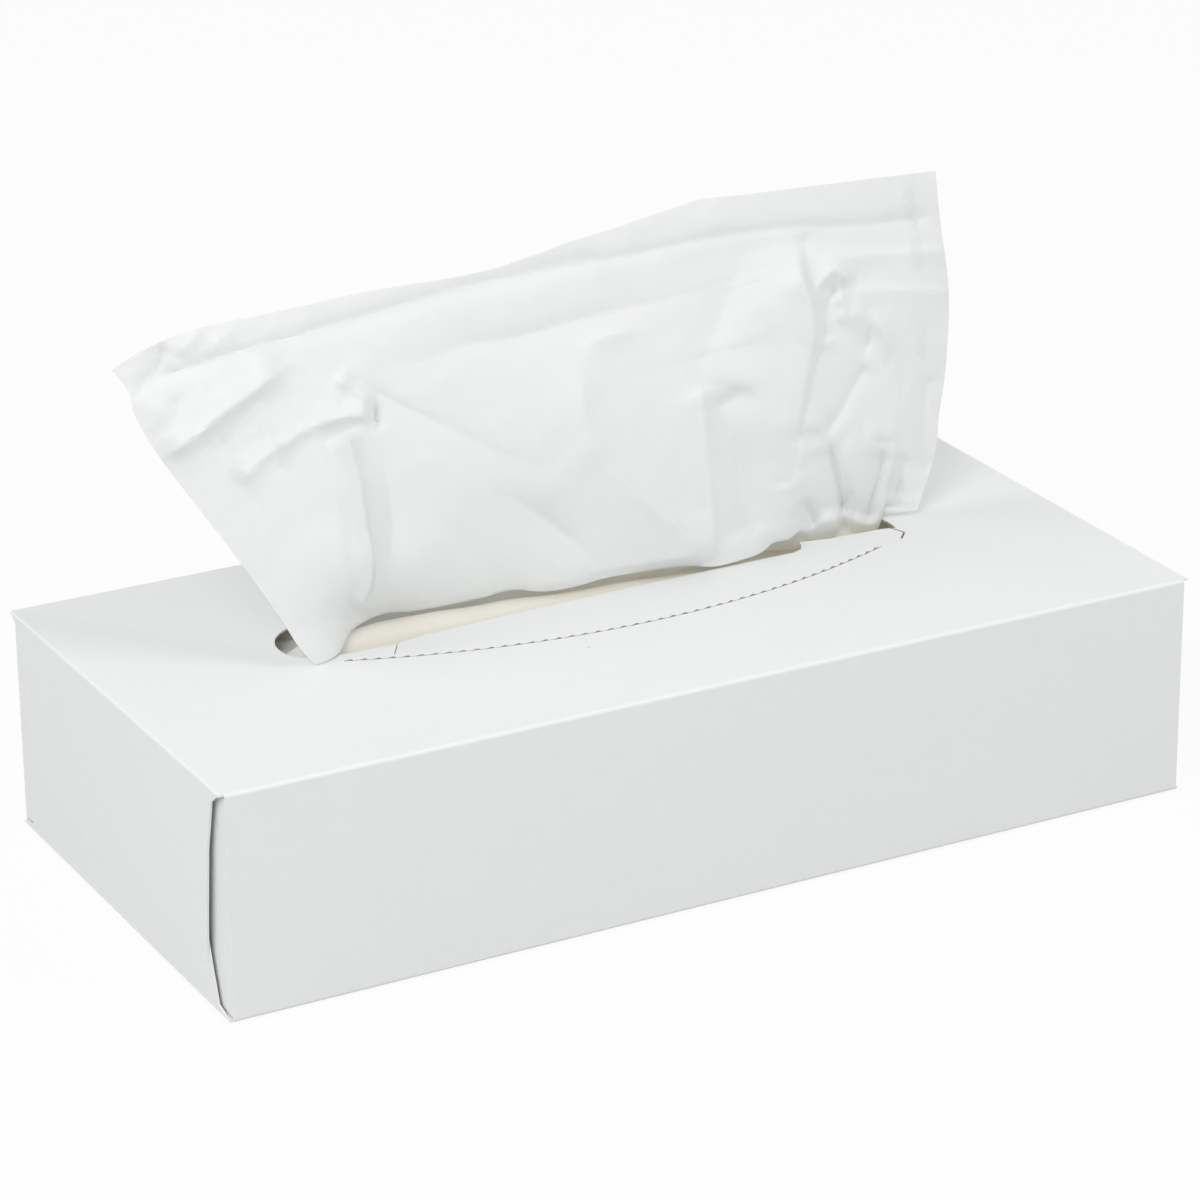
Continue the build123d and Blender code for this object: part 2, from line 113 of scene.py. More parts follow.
# Folds of the pulled tissue: name, kind, depth in millimetres at its start and at its end, how far
# it spreads to its first side (above a level line, left of a steep one) and to its second, and the
# line that it follows. A ridge comes towards the eye, a groove goes away from it, and a step brings
# its first side forward, within its first spread, and fades over its second. A soft fold fades
# along nearly half its line at each end, and the others only close to their ends.
FOLDS = [
    ("pack fold near the top edge", "groove", 1.3, 0.9, 1.3, 1.4, [
        (-95.3, 111.7), (-87.5, 112.7), (-81.8, 113.7), (-73.9, 114.5), (-62.5, 115.4),
        (-51, 116.3), (-39.4, 117.6), (-27.6, 118.9), (-18.2, 119.3), (-11, 119.5), (-1.4, 119.9),
        (8.2, 120.1), (18, 120.3), (30.3, 120.8), (37.7, 120.8), (47.7, 120.5), (55.3, 120),
        (73.1, 117.8), (83.5, 117.1), (91.8, 116.7),
    ]),
    ("band above the pack fold", "groove", 0.9, 0.9, 1.8, 1.4, [
        (-62.5, 116.2), (-51, 117.1), (-39.4, 118.5), (-27.6, 119.8), (-18.2, 120.2), (-11, 120.6),
        (-1.4, 121.3), (8.2, 121.5),
    ]),
    ("below the pack fold", "step", 0.2, 1, 3, 9, [
        (-11, 119.3), (-1.4, 119.5), (8.2, 119.7), (18, 119.9), (30.3, 120.4), (37.7, 120.3),
        (47.7, 120.3), (55.3, 119.8), (73.1, 117.8), (83.5, 117.1), (91.8, 116.7),
    ]),
    ("second fold", "soft groove", 1.7, 1.7, 2.4, 3.6, [
        (-52.5, 104.4), (-46.3, 104.6), (-35, 104.9), (-25.6, 106.6), (-11.3, 106.3), (-1.6, 107.4),
        (8.1, 108), (17.9, 108.6), (30.3, 109.3), (42.8, 110.4),
    ]),
    ("turned corner", "groove", 1.7, 1.7, 1.8, 1.6, [
        (-93.4, 119.2), (-95.5, 113), (-100.1, 109.1),
    ]),
    ("facet edge", "ridge", 3.2, 3, 9, 1.7, [
        (-95.1, 92.9), (-87.1, 97.3), (-79, 101.8), (-72, 105.4), (-64.6, 109.6),
    ]),
    ("corner streak", "ridge", 0.8, 0.8, 1.4, 1.4, [(-90.1, 115.1), (-86.8, 118), (-83.6, 120.5)]),
    ("corner streak", "ridge", 0.6, 0.6, 1.4, 1.4, [
        (-85.2, 114.7), (-80.1, 117.3), (-75.9, 120.5),
    ]),
    ("corner streak", "groove", 0.7, 0.7, 1.4, 1.4, [
        (-93.8, 97.9), (-91.3, 102.9), (-90.4, 107.8),
    ]),
    ("hood crest", "ridge", 1.8, 3.4, 4.6, 2, [
        (-77.8, 84.8), (-73.6, 88.4), (-68.9, 91.1), (-63.8, 93.3), (-59.1, 94.9), (-52.8, 95.5),
        (-45.6, 95.1),
    ]),
    ("hood shoulder", "soft groove", 0.9, 0.9, 2.2, 3.4, [
        (-83.1, 99.3), (-80.4, 93.2), (-77.3, 86),
    ]),
    ("pleat inner edge", "step", 2.2, 1.6, 1.3, 6, [
        (-60, 94.4), (-57.7, 89), (-55.6, 81.9), (-54.2, 74.9), (-53.5, 67.9), (-53, 59.8),
        (-53.3, 50),
    ]),
    ("pleat rim", "ridge", 3.6, 4.2, 3.4, 1.6, [
        (-52, 92.5), (-50.6, 85.5), (-49.2, 78.4), (-48.4, 71.5), (-47.4, 64.4), (-47.1, 58.6),
        (-48.2, 54.9), (-51.4, 51.4),
    ]),
    ("beside the pleat", "soft groove", 2.2, 2.2, 2, 5, [
        (-46.2, 91.4), (-43.7, 79.7), (-43, 70.4), (-43.5, 61.4), (-46.2, 51.3),
    ]),
    ("notch crest", "ridge", 1.2, 1.6, 1.6, 1, [(-55.5, 104.9), (-51, 101.7), (-46, 97)]),
    ("notch", "groove", 2, 2.2, 0.8, 1.2, [(-46.2, 97.7), (-45.9, 94.7), (-45.3, 90.8)]),
    ("long slant", "groove", 1.4, 0.3, 1.4, 4.2, [
        (-52.5, 104.4), (-46.4, 100.4), (-40, 95.9), (-28.3, 88.6), (-18.9, 82.3), (-2, 73.2),
    ]),
    ("low hollow", "soft groove", 2.4, 2.4, 3, 6, [
        (-21.4, 74.6), (-17.2, 71.9), (-8.3, 65.6), (-1.7, 59.7), (7.6, 49.9),
    ]),
    ("middle ridge head", "soft ridge", 1.6, 1.6, 1.8, 3.4, [
        (0.7, 100.7), (3.7, 101.5), (9.3, 102.4), (21.6, 103),
    ]),
    ("middle ridge", "soft ridge", 2.6, 2.6, 9, 5, [
        (4.9, 104.9), (3.6, 97.2), (4, 89.1), (5.4, 79.7), (9.3, 70.6),
    ]),
    ("middle slant", "ridge", 1.2, 4.6, 10, 3.4, [
        (3, 83.6), (10.8, 72.7), (18.2, 64.3), (25.7, 56.7), (35.8, 45.2),
    ]),
    ("broad light", "soft groove", 2, 2, 7, 6, [
        (45.2, 121.4), (41, 112.5), (38.3, 103.8), (34.3, 94.8), (30.2, 84.4),
    ]),
    ("pocket brow", "soft step", 2.8, 2.8, 2, 6, [
        (30.2, 86.3), (33.5, 87.6), (37.8, 87), (42.8, 85), (51.8, 80.1),
    ]),
    ("pocket ridge", "ridge", 1.8, 1.4, 4, 1.8, [
        (33.3, 87.6), (34.3, 76.7), (35.3, 64.8), (36.1, 55.2), (36.1, 45.2),
    ]),
    ("pocket valley", "groove", 2.6, 3.4, 3, 4.8, [
        (36.8, 85.1), (39.1, 75.8), (41.6, 68.3), (43.7, 60.8), (44.8, 48.7),
    ]),
    ("shoulder", "ridge", 6.6, 2.2, 16, 2.8, [
        (57.1, 117.7), (57.6, 111.6), (59.5, 104.8), (61.6, 98.7), (61.9, 94), (60.9, 88.8),
        (59.5, 81.6), (57.5, 72.5), (55.2, 63.4),
    ]),
    ("dark wedge", "groove", 1.2, 1.6, 1.4, 3, [
        (58.1, 118.4), (59.4, 112.9), (61, 106.9), (63.1, 101.5),
    ]),
    ("right terrace", "ridge", 1.3, 1.1, 1.2, 5.5, [
        (61.7, 110.7), (70.7, 110.6), (83.6, 109.2), (97.3, 107.9),
    ]),
    ("right terrace", "ridge", 1.4, 1, 1.3, 6, [(70.3, 102.1), (78.6, 101.4), (97.8, 98)]),
    ("knot crest", "ridge", 1.4, 2.6, 1.8, 1.8, [
        (60.8, 100.9), (63.1, 105.4), (66.9, 108.2), (70.8, 104.4),
    ]),
    ("knot crest", "ridge", 1.4, 1, 1.4, 1.4, [(66.9, 103.1), (69.6, 98.5), (67.8, 95.1)]),
    ("knot valley", "groove", 2, 2.6, 1.4, 1.8, [
        (67.7, 104.9), (65.4, 102), (64.2, 97.6), (64.5, 91.2),
    ]),
    ("knot cap", "soft ridge", 1.4, 1.4, 1.4, 3.2, [(67.3, 96.1), (71.4, 96.8), (76.1, 95.5)]),
    ("knot side", "soft groove", 1.6, 1.6, 1.3, 1.6, [(75.8, 95.1), (75.6, 90.9), (74.4, 85.5)]),
    ("knot wing", "soft ridge", 2, 2, 1.6, 2.6, [
        (75, 98.5), (78.2, 94.3), (80.4, 88.2), (78.9, 82.4),
    ]),
    ("right fold", "groove", 1.8, 2.2, 2.6, 1.8, [
        (64, 92), (61.7, 86.3), (60.3, 79.1), (58.3, 72.3), (56.5, 65.1), (54.8, 58.3),
    ]),
    ("right slant", "groove", 1.4, 1.8, 1.8, 3, [
        (75.5, 85.1), (71.1, 79), (67.6, 73.5), (64, 70.4),
    ]),
    ("first arch", "step", 2.8, 2.8, 1.6, 5, [
        (57.5, 71.5), (61.4, 71.8), (65.5, 70.3), (68.7, 66.6),
    ]),
    ("first arch valley", "groove", 3.4, 4.6, 4.8, 1.5, [
        (65.5, 68.4), (67.2, 63.1), (68.6, 57.3), (69.7, 49.7),
    ]),
    ("nose edge", "ridge", 1.2, 1.6, 1.4, 3.2, [
        (58, 70.7), (56.5, 65.6), (55.3, 61), (55.5, 57.6),
    ]),
    ("nose low fold", "groove", 1.4, 2.6, 2.2, 1.5, [(58.7, 56.1), (60.8, 52.6), (63.2, 48.3)]),
    ("second arch", "step", 2.6, 2.6, 1.5, 5, [(75.5, 65.9), (79.2, 66.6), (84.2, 64.5)]),
    ("second arch valley", "groove", 3, 3.8, 4, 1.8, [
        (80.5, 64.2), (79.3, 58.9), (77.5, 53.2), (75.5, 46.8),
    ]),
    ("right edge fold", "groove", 0.8, 1, 2, 2.6, [
        (92.1, 80), (90.7, 72.4), (90.8, 64), (92.4, 55.5),
    ]),
    ("lower right fold", "groove", 1, 1.6, 2, 2, [(85.8, 62), (84.6, 56.7), (82.9, 51)]),
    ("left fine fold", "groove", 0.8, 0.5, 1.3, 1.6, [(-70.6, 95.9), (-68.7, 91.1), (-68, 84.7)]),
    ("left fine fold", "ridge", 0.8, 0.5, 1.2, 1.2, [(-64.2, 93.4), (-66.6, 90.2), (-67.7, 86.4)]),
    ("strip waver", "ridge", 0.5, 0.5, 3, 4, [(34, 129.5), (35.7, 125.1), (37.7, 120.8)]),
]


class TissueSettings(bpy.types.PropertyGroup):
    """Size and look of one two-ply tissue."""

    width: FloatProperty(
        name="Width", description="Width of the flat sheet, along the carton",
        default=0.210, min=0.1, unit="LENGTH",
    )
    length: FloatProperty(
        name="Length", description="Length of the flat sheet, across its fold",
        default=0.205, min=0.1, unit="LENGTH",
    )
    thickness: FloatProperty(
        name="Thickness", description="Thickness of the two soft plies together",
        default=0.00022, min=0.0001, unit="LENGTH",
    )
    fold_depth: FloatProperty(
        name="Fold depth", description="How strongly the folds are pressed, 1 as drawn",
        default=1.0, min=0.0, max=2.0,
    )
    crumple: FloatProperty(
        name="Crumple", description="Depth of the soft unevenness between the folds",
        default=0.0005, min=0.0, unit="LENGTH",
    )
    colour: FloatVectorProperty(
        name="Colour", description="Colour of the tissue",
        default=(0.952, 0.962, 0.957), size=3, min=0, max=1, subtype="COLOR",
    )
    # Painted warm light and shade: tissue down in the slot gets a cream colour for the light that
    # bounces in there
    painted_slot_light_colour: FloatVectorProperty(
        name="Colour in the slot", description="Warmer colour of tissue seen down in the slot",
        default=(0.89, 0.86, 0.76), size=3, min=0, max=1, subtype="COLOR",
    )
    # Painted glow: emission on the tissue down in the slot, standing in for light that comes
    # through the layers
    painted_slot_glow: FloatProperty(
        name="Inner glow", description="Light that comes through the layers at the slot",
        default=0.06, min=0.0,
    )
    glow: FloatProperty(
        name="Glow", description="Share of light that passes through the sheet",
        default=0.3, min=0.0, max=1.0, subtype="FACTOR",
    )
    layers: IntProperty(
        name="Layers in the pack", description="Folded layers left in the carton",
        default=98, min=10,
    )


class BoardSettings(bpy.types.PropertyGroup):
    """Look of the folded carton board."""

    colour: FloatVectorProperty(
        name="Outside", description="White coated outside of the board",
        default=(0.86, 0.87, 0.87), size=3, min=0, max=1, subtype="COLOR",
    )
    core_colour: FloatVectorProperty(
        name="Cut edge", description="Grey fibres that show where the board is cut or torn",
        default=(0.52, 0.50, 0.46), size=3, min=0, max=1, subtype="COLOR",
    )
    inside_colour: FloatVectorProperty(
        name="Inside", description="Uncoated inside of the board",
        default=(0.66, 0.54, 0.36), size=3, min=0, max=1, subtype="COLOR",
    )
    mottle: FloatProperty(
        name="Mottle", description="Strength of the fine cloudiness of the coating",
        default=0.035, min=0.0, max=0.3, subtype="FACTOR",
    )


class StageSettings(bpy.types.PropertyGroup):
    """Floor, lamps and surroundings."""

    floor_size: FloatProperty(
        name="Floor size", description="Side of the square floor",
        default=12.0, min=1.0, unit="LENGTH",
    )
    floor_colour: FloatVectorProperty(
        name="Floor", description="Colour of the floor under the object",
        default=(0.60, 0.60, 0.60), size=3, min=0, max=1, subtype="COLOR",
    )
    surroundings: FloatProperty(
        name="Surroundings", description="Brightness of the even light from all round",
        default=0.55, min=0.0,
    )
    key_power: FloatProperty(
        name="Key light", description="Power of the large lamp in front, above and to the left",
        default=9.0, min=0.0, unit="POWER",
    )
    fill_power: FloatProperty(
        name="Fill light", description="Power of the lamp in front, above and to the right",
        default=7.7, min=0.0, unit="POWER",
    )
    back_power: FloatProperty(
        name="Back light", description="Power of the lamp behind, above and to the left",
        default=4.2, min=0.0, unit="POWER",
    )


# Shader work

# Sockets of a Mix node that mixes colours, by number, since several have the same name
MIX_AMOUNT, MIX_FIRST, MIX_SECOND, MIX_COLOUR = 0, 6, 7, 2


class Value:
    """One number of a shader, worked on with Python's own signs."""

    def __init__(self, finish, socket):
        self.finish = finish
        self.socket = socket

    def worked(self, operation, *others):
        inputs = dict(enumerate((self, *others)))
        made = self.finish.node("ShaderNodeMath", {"operation": operation}, inputs)
        return Value(self.finish, made.outputs[0])

    def __add__(self, other):
        return self.worked("ADD", other)

    __radd__ = __add__

    def __mul__(self, other):
        return self.worked("MULTIPLY", other)

    __rmul__ = __mul__

    def __sub__(self, other):
        return self.worked("SUBTRACT", other)

    def __rsub__(self, other):
        return (self * -1) + other

    def __abs__(self):
        return self.worked("ABSOLUTE")

    def least(self, other):
        return self.worked("MINIMUM", other)

    def most(self, other):
        return self.worked("MAXIMUM", other)

    def wave(self):
        return self.worked("SINE")

    def rising(self, low, high):
        """0 below low, 1 above high and smooth between; low may be the larger."""
        made = self.finish.node(
            "ShaderNodeMapRange",
            {"interpolation_type": "SMOOTHSTEP"},
            {"Value": self, "From Min": low, "From Max": high},
        )
        return Value(self.finish, made.outputs[0])


class Finish:
    """The shader nodes of a material, or of the surroundings, in the making."""

    def __init__(self, owner, output="ShaderNodeOutputMaterial"):
        owner.use_nodes = True
        self.owner = owner
        self.tree = owner.node_tree
        self.tree.nodes.clear()
        self.output = self.node(output)

    def node(self, kind, settings=None, inputs=None):
        made = self.tree.nodes.new(kind)
        for name, value in (settings or {}).items():
            setattr(made, name, value)
        for name, value in (inputs or {}).items():
            if isinstance(value, Value):
                self.tree.links.new(value.socket, made.inputs[name])
            elif isinstance(value, bpy.types.NodeSocket):
                self.tree.links.new(value, made.inputs[name])
            else:
                made.inputs[name].default_value = value
        return made

    def place(self, output="Object"):
        return self.node("ShaderNodeTexCoord").outputs[output]

    def parts(self, vector):
        made = self.node("ShaderNodeSeparateXYZ", inputs={0: vector})
        return [Value(self, socket) for socket in made.outputs]

    def stretched(self, vector, scale):
        made = self.node("ShaderNodeMapping", inputs={"Vector": vector, "Scale": scale})
        return made.outputs[0]

    def cloud(self, vector, scale, detail=2.0, roughness=0.5):
        made = self.node(
            "ShaderNodeTexNoise",
            inputs={"Vector": vector, "Scale": scale, "Detail": detail, "Roughness": roughness},
        )
        return Value(self, made.outputs[0])

    def cells(self, vector, scale):
        made = self.node("ShaderNodeTexVoronoi", inputs={"Vector": vector, "Scale": scale})
        return Value(self, made.outputs["Distance"])

    def blend(self, amount, first, second):
        """A colour between two, by an amount from 0 to 1."""
        first, second = (
            colour if isinstance(colour, bpy.types.NodeSocket) else (*colour, 1.0)
            for colour in (first, second)
        )
        made = self.node(
            "ShaderNodeMix",
            {"data_type": "RGBA"},
            {MIX_AMOUNT: amount, MIX_FIRST: first, MIX_SECOND: second},
        )
        return made.outputs[MIX_COLOUR]

    def bump(self, height, distance):
        made = self.node("ShaderNodeBump", inputs={"Height": height, "Distance": distance})
        return made.outputs[0]

    def mixed(self, amount, first, second):
        """Two shaders in one, by an amount from 0 to 1."""
        return self.node(
            "ShaderNodeMixShader", inputs={0: amount, 1: first.outputs[0], 2: second.outputs[0]}
        )

    def show(self, shader):
        self.tree.links.new(shader.outputs[0], self.output.inputs["Surface"])
        return self.owner


def shaded(colour, share):
    """The colour made darker, or lighter up to white."""
    return [min(value * share, 1.0) for value in colour]


# Distances over which the board's finish changes from one look to another, in metres
CUT_BELOW_TOP = (4 * MM, 3 * MM)
CUT_FROM_ENDS = (15 * MM, 17 * MM)
CUT_FROM_SIDES = (8 * MM, 10 * MM)
BARE_FROM_ENDS = (2.2 * MM, 3.0 * MM)
FOLD_REACH = (1.9 * MM, 1.0 * MM)
# How ragged the whitening of a fold is, and how deep the grain of the coating
FOLD_RAGGED = 1.6 * MM
BOARD_RELIEF = 0.00006
FOLD_WHITE = (0.93, 0.935, 0.935)
SPECK_COLOUR = (0.25, 0.24, 0.22)


def board_finish(settings):
    """White coated board with whitened folds, grey cut edges and an uncoated inside."""
    finish = Finish(bpy.data.materials.new("coated board"))
    place = finish.place()
    x, y, z = finish.parts(place)
    facing_x, facing_y, facing_z = finish.parts(finish.place("Normal"))
    half_length, half_width, height = CARTON_HIGH
    # The outside faces away from the middle of the carton
    outward = facing_x * x + facing_y * y + facing_z * (z - height / 2)
    outside = outward.rising(-0.002, 0.002)
    # Cut and torn edges are the upright faces in the top panel, away from its ends and sides
    cut = (
        abs(facing_z).rising(0.75, 0.45)
        * z.rising(*(height - gap for gap in CUT_BELOW_TOP))
        * abs(x).rising(*(half_length - gap for gap in CUT_FROM_ENDS))
        * abs(y).rising(*(half_width - gap for gap in CUT_FROM_SIDES))
    )
    # Clouding of the coating, finer and coarser
    fine = finish.cloud(place, 900.0, 3.0, 0.6)
    broad = finish.cloud(place, 75.0, 2.0, 0.5)
    tone = 1.0 + (fine - 0.5) * (settings.mottle * 1.6) + (broad - 0.5) * settings.mottle
    white = finish.blend(
        tone.rising(0.9, 1.1), shaded(settings.colour, 0.965), shaded(settings.colour, 1.035)
    )
    # Folds along the carton and at its ends, where the coating has cracked white
    near_side = abs(abs(y) - half_width)
    near_top = abs(z - height)
    near_floor = abs(z)
    near_end = abs(abs(x) - half_length)
    ragged = finish.cloud(place, 1400.0, 3.0, 0.7) * FOLD_RAGGED
    long_fold = near_side.most(near_top.least(near_floor))
    end_fold = near_end.most(near_top.least(near_floor))
    fold = (long_fold.least(end_fold) + ragged).rising(*FOLD_REACH) * outside
    colour = finish.blend(fold * 0.4, white, FOLD_WHITE)
    # Only the tube's inside is bare: the flaps' roots and edges at the ends look white
    bare = (1.0 - outside) * near_end.rising(*BARE_FROM_ENDS)
    colour = finish.blend(bare, colour, settings.inside_colour)
    # Fibres of the cut edges
    fibres = finish.cloud(place, 2600.0, 3.0, 0.8)
    core = finish.blend(
        fibres.rising(0.35, 0.65),
        shaded(settings.core_colour, 0.7), shaded(settings.core_colour, 1.35),
    )
    colour = finish.blend(cut, colour, core)
    # A few specks of dust
    speck = finish.cells(place, 160.0).rising(0.05, 0.03)
    sparse = finish.cloud(place, 40.0, 1.0).rising(0.62, 0.66)
    colour = finish.blend(speck * sparse * outside, colour, SPECK_COLOUR)
    relief = fine * 0.5 + finish.cloud(place, 260.0, 2.0) * 0.8 + fold * ragged * 300.0
    shader = finish.node(
        "ShaderNodeBsdfPrincipled",
        inputs={
            "Base Color": colour,
            "Roughness": 0.55 + (1.0 - outside) * 0.3 + (broad - 0.5) * 0.12,
            "Specular IOR Level": 0.35,
            "Normal": finish.bump(relief, BOARD_RELIEF),
        },
    )
    return finish.show(shader)


# Heights between which, going down, a sheet's colour turns to the painted warm light and shade of
# the slot
PULLED_SLOT_LIGHT = (0.0500, 0.0455)
NEXT_SLOT_LIGHT = (0.0600, 0.0450)
# Left end of the painted warm light in the slot
SLOT_LIGHT_START = (-0.067, -0.059)
# Heights over which the painted shade of a sheet's low part fades out going up
LOW_SHADE_HEIGHTS = (0.048, 0.1)
# Pressed marks that hold the plies together: their row's place, its fading edge, their spacing
BOND_FROM_EDGE = 0.0075
BOND_REACH = (0.0022, 0.0012)
BOND_PITCH = 0.0012
BOND_SLANT = 0.9
BOND_COLOUR = (0.80, 0.81, 0.79)
TISSUE_RELIEF = 0.00007
BLACK = (0.0, 0.0, 0.0)


def tissue_finish(name, settings, painted_slot_light_heights):
    """Soft two-ply tissue, with crepe across it and rows of pressed marks beside its edges."""
    finish = Finish(bpy.data.materials.new(name))
    on_sheet = finish.place("UV")
    across, along, _ = finish.parts(on_sheet)
    x, _, z = finish.parts(finish.place())
    # Fine crepe lines, and the cloudy look of thin paper
    crepe = finish.cloud(finish.stretched(on_sheet, (160.0, 1500.0, 1.0)), 1.0, 3.0, 0.6)
    fibre = finish.cloud(finish.stretched(on_sheet, (1300.0, 700.0, 1.0)), 1.0, 3.0, 0.7)
    cloudy = finish.cloud(on_sheet, 110.0, 3.0, 0.55)
    # Slanted marks in a narrow band inside each side edge, stronger to the right
    half = settings.width / 2
    band = abs(abs(across - half) - (half - BOND_FROM_EDGE)).rising(*BOND_REACH)
    slant = ((across * BOND_SLANT + along) * (2 * math.pi / BOND_PITCH)).wave()
    patches = finish.cloud(finish.stretched(on_sheet, (60.0, 70.0, 1.0)), 1.0, 1.0)
    marks = (
        band * slant.rising(0.35, 0.8) * patches.rising(0.42, 0.6)
        * across.rising(settings.width * 0.1, settings.width * 0.9)
    )
    shade = 1.0 - (cloudy - 0.5).most(0.0) * 0.1
    cool = finish.blend(
        shade.rising(0.94, 1.0), shaded(settings.colour, 0.965), settings.colour
    )
    # Painted shade: the colour is darker low down, where the sheet is gathered
    cool = finish.blend(z.rising(*LOW_SHADE_HEIGHTS), shaded(settings.colour, 0.92), cool)
    # Painted warm light and shade: low in the slot the tissue takes a cream colour, with a painted
    # glow
    painted_slot_light = z.rising(*painted_slot_light_heights) * x.rising(*SLOT_LIGHT_START)
    colour = finish.blend(painted_slot_light, cool, settings.painted_slot_light_colour)
    colour = finish.blend(marks * 0.1, colour, BOND_COLOUR)
    relief = crepe * 0.7 + fibre * 0.45 + cloudy * 0.8 - marks * 1.0
    normal = finish.bump(relief, TISSUE_RELIEF)
    paper = finish.node(
        "ShaderNodeBsdfPrincipled",
        inputs={
            "Base Color": colour,
            "Roughness": 0.6 + (fibre - 0.5) * 0.2,
            "Specular IOR Level": 0.5,
            # Painted glow of the tissue in the slot
            "Emission Color": finish.blend(painted_slot_light, BLACK, settings.painted_slot_light_colour),
            "Emission Strength": settings.painted_slot_glow,
            "Normal": normal,
        },
    )
    through = finish.node(
        "ShaderNodeBsdfTranslucent", inputs={"Color": (*settings.colour, 1.0), "Normal": normal}
    )
    return finish.show(finish.mixed(settings.glow, paper, through))


PACK_RELIEF = 0.0001


def pack_finish(settings):
    """Edges of many folded layers."""
    finish = Finish(bpy.data.materials.new("pack of tissue"))
    place = finish.place()
    fibre = finish.cloud(place, 1800.0, 3.0, 0.7)
    layer = finish.cloud(finish.stretched(place, (20.0, 20.0, 2400.0)), 1.0, 2.0, 0.6)
    shader = finish.node(
        "ShaderNodeBsdfPrincipled",
        inputs={
            "Base Color": finish.blend(
                layer.rising(0.35, 0.65), shaded(settings.colour, 0.88), settings.colour
            ),
            "Roughness": 0.85 + (fibre - 0.5) * 0.15,
            "Specular IOR Level": 0.3,
            "Normal": finish.bump(fibre * 0.5 + layer, PACK_RELIEF),
        },
    )
    return finish.show(shader)


# Sheets


def eased(value, low, high):
    t = np.clip((value - low) / (high - low), 0.0, 1.0)
    return t * t * (3 - 2 * t)


def leg_at(knots, at):
    """For each place its leg between two knots, the leg's span and the share of it passed."""
    leg = np.clip(np.searchsorted(knots, at, side="right") - 1, 0, len(knots) - 2)
    span = knots[leg + 1] - knots[leg]
    return leg, span, (at - knots[leg]) / span


def curved(t, span, start, end, start_slope, end_slope):
    """A smooth curve over one leg, at a share t of it."""
    return (
        (2 * t**3 - 3 * t**2 + 1) * start
        + (t**3 - 2 * t**2 + t) * span * start_slope
        + (3 * t**2 - 2 * t**3) * end
        + (t**3 - t**2) * span * end_slope
    )


def smooth_line(points, at):
    """Places on a smooth curve through the points, at shares of its length."""
    points = np.array(points, float)
    steps = np.linalg.norm(np.diff(points[:, :2], axis=0), axis=1)
    run = np.concatenate([[0.0], np.cumsum(steps)])
    run /= run[-1]
    slopes = np.gradient(points, run, axis=0)
    leg, span, t = leg_at(run, np.clip(np.asarray(at, float), 0.0, 1.0))
    return curved(
        t[:, None], span[:, None], points[leg], points[leg + 1], slopes[leg], slopes[leg + 1]
    )


def belly_depth(across, rise, net):
    """The belly's depth at shares across and up the sheet, smooth between its net's knots."""
    knots = np.array(BELLY_ACROSS)
    leg, span, t = leg_at(knots, np.linspace(0, 1, BELLY_PARTS + 1))
    rows = []
    for row in np.array(net):
        slopes = np.gradient(row, knots)
        rows.append(curved(t, span, row[leg], row[leg + 1], slopes[leg], slopes[leg + 1]))
    rows = np.array(rows)
    knots = np.array(BELLY_RISE)
    slopes = np.gradient(rows, knots, axis=0)
    columns = np.clip(across, 0, 1) * BELLY_PARTS
    low = np.clip(columns.astype(int), 0, BELLY_PARTS - 1)
    part = columns - low

    def at(table, row):
        return table[row, low] * (1 - part) + table[row, low + 1] * part

    leg, span, t = leg_at(knots, rise)
    return curved(t, span, at(rows, leg), at(rows, leg + 1), at(slopes, leg), at(slopes, leg + 1))


# Counts a spot that lies right on a line to its first side
ON_LINE = 1e-9


def to_line(spots, line):
    """Each spot's distance from a line, its side and how far along it lies, and the line's run."""
    best = np.full(len(spots), np.inf)
    side = np.ones(len(spots))
    along = np.zeros(len(spots))
    run = 0.0
    for start, end in zip(line[:-1], line[1:]):
        leg = end - start
        size = math.hypot(*leg)
        away = spots - start
        share = np.clip((away @ leg) / size**2, 0.0, 1.0)
        gap = np.linalg.norm(away - share[:, None] * leg, axis=1)
        nearer = gap < best
        best = np.where(nearer, gap, best)
        turn = leg[0] * away[:, 1] - leg[1] * away[:, 0]
        side = np.where(nearer, np.sign(turn + ON_LINE), side)
        along = np.where(nearer, run + share * size, along)
        run += size
    # A steep line has its left side first, whichever way it was drawn
    whole = line[-1] - line[0]
    if whole[1] < 0 and abs(whole[1]) > abs(whole[0]):
        side = -side
    return best, side, along, run


# Length in millimetres over which a fold fades in from just beyond its ends, or a share of its
# spread where that is more, or of its run where that is less. A soft fold has a share of its own.
FOLD_EASE = 2.5
EASE_OF_SPREAD = 0.75
EASE_OF_RUN = 0.45
SOFT_EASE_OF_RUN = 0.48
BEYOND_END = 0.2
# How far a crest is rounded, in millimetres
CREST_ROUND = 0.3


def fold_height(spots):
    """Millimetres by which the folds bring each spot of the drawing towards the eye."""
    height = np.zeros(len(spots))
    for _, kind, start_depth, end_depth, first, second, points in FOLDS:
        line = smooth_line(points, np.linspace(0, 1, 4 * len(points)))
        gap, side, along, run = to_line(spots, line)
        ease = min(max(FOLD_EASE, max(first, second) * EASE_OF_SPREAD), run * EASE_OF_RUN)
        if kind.startswith("soft "):
            kind, ease = kind.removeprefix("soft "), run * SOFT_EASE_OF_RUN
        ends = eased(along, -BEYOND_END, ease) * eased(run - along, -BEYOND_END, ease)
        depth = (start_depth + (end_depth - start_depth) * along / run) * ends
        if kind == "step":
            height += 0.5 * depth * side * np.tanh(gap / first) * np.exp(-gap / second)
            continue
        spread = np.where(side > 0, first, second)
        crest = np.exp(-(np.sqrt(gap**2 + CREST_ROUND**2) - CREST_ROUND) / spread)
        height += (1 if kind == "ridge" else -1) * depth * crest
    return height


